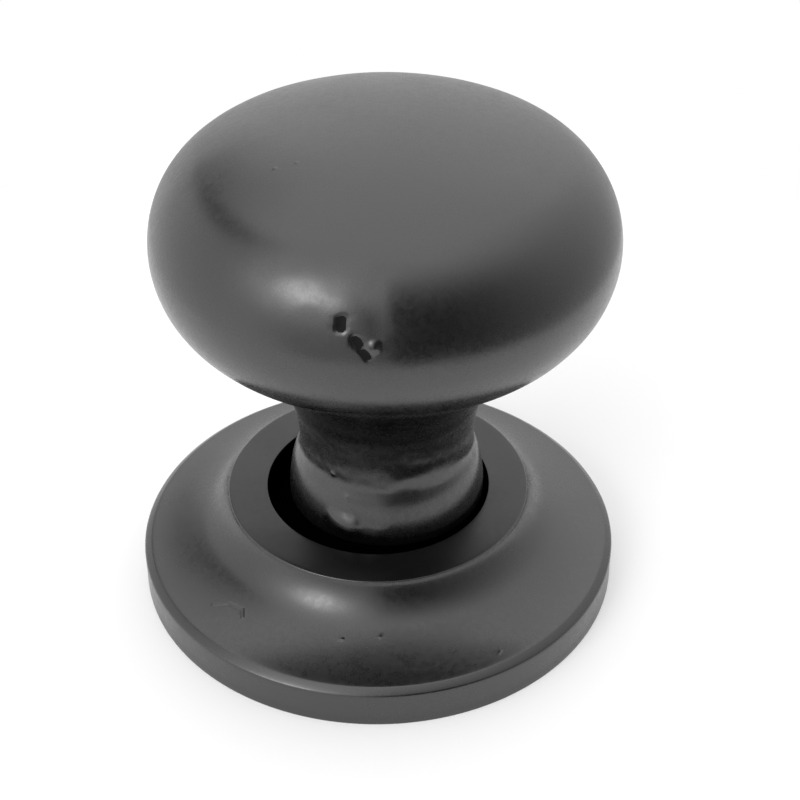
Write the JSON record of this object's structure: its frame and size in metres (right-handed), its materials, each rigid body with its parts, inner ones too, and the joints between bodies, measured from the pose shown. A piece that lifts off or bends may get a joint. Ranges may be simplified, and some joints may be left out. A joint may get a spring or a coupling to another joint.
{
  "type": "cupboard knob",
  "caption": "Round mushroom-shaped cupboard knob on a short waisted neck, standing in the recess of a separate moulded back rose, fixed from behind by a screw.",
  "frame": {"origin": "centre of the rose's flat back face, where the door's surface meets it", "axes": "+Z points out of the door, from the rose to the knob's crown; +X is the direction in which the loose knob sits 0.7 mm off the rose's centre; +Y completes the right-handed frame"},
  "size_m": [0.038, 0.038, 0.0398],
  "materials": {
    "black_iron_rose": "satin",
    "black_iron_knob": "satin",
    "zinc_washer": "satin",
    "zinc_screw": "satin"
  },
  "bodies": {
    "rose": {"rose": "black_iron_rose"},
    "knob": {"knob": "black_iron_knob"},
    "washer": {"washer": "zinc_washer"},
    "screw": {"fixing_screw": "zinc_screw"}
  },
  "joints": [
    {"name": "knob_turn", "type": "hinge", "parent": "rose", "child": "knob", "pos_m": [0.0007, 0, 0], "axis": [0, 0, 1], "continuous": true},
    {"name": "washer_slide", "type": "slide", "parent": "knob", "child": "washer", "axis": [0, 0, -1], "range_m": [0, 0.018]},
    {"name": "fixing_screw_turn", "type": "hinge", "parent": "washer", "child": "screw", "pos_m": [0.0007, 0, 0], "axis": [0, 0, -1], "range_deg": [0, 9258]}
  ],
  "couplings": [
    {"joint": "fixing_screw_turn", "follows": "washer_slide", "rad_per_m": 8976}
  ]
}
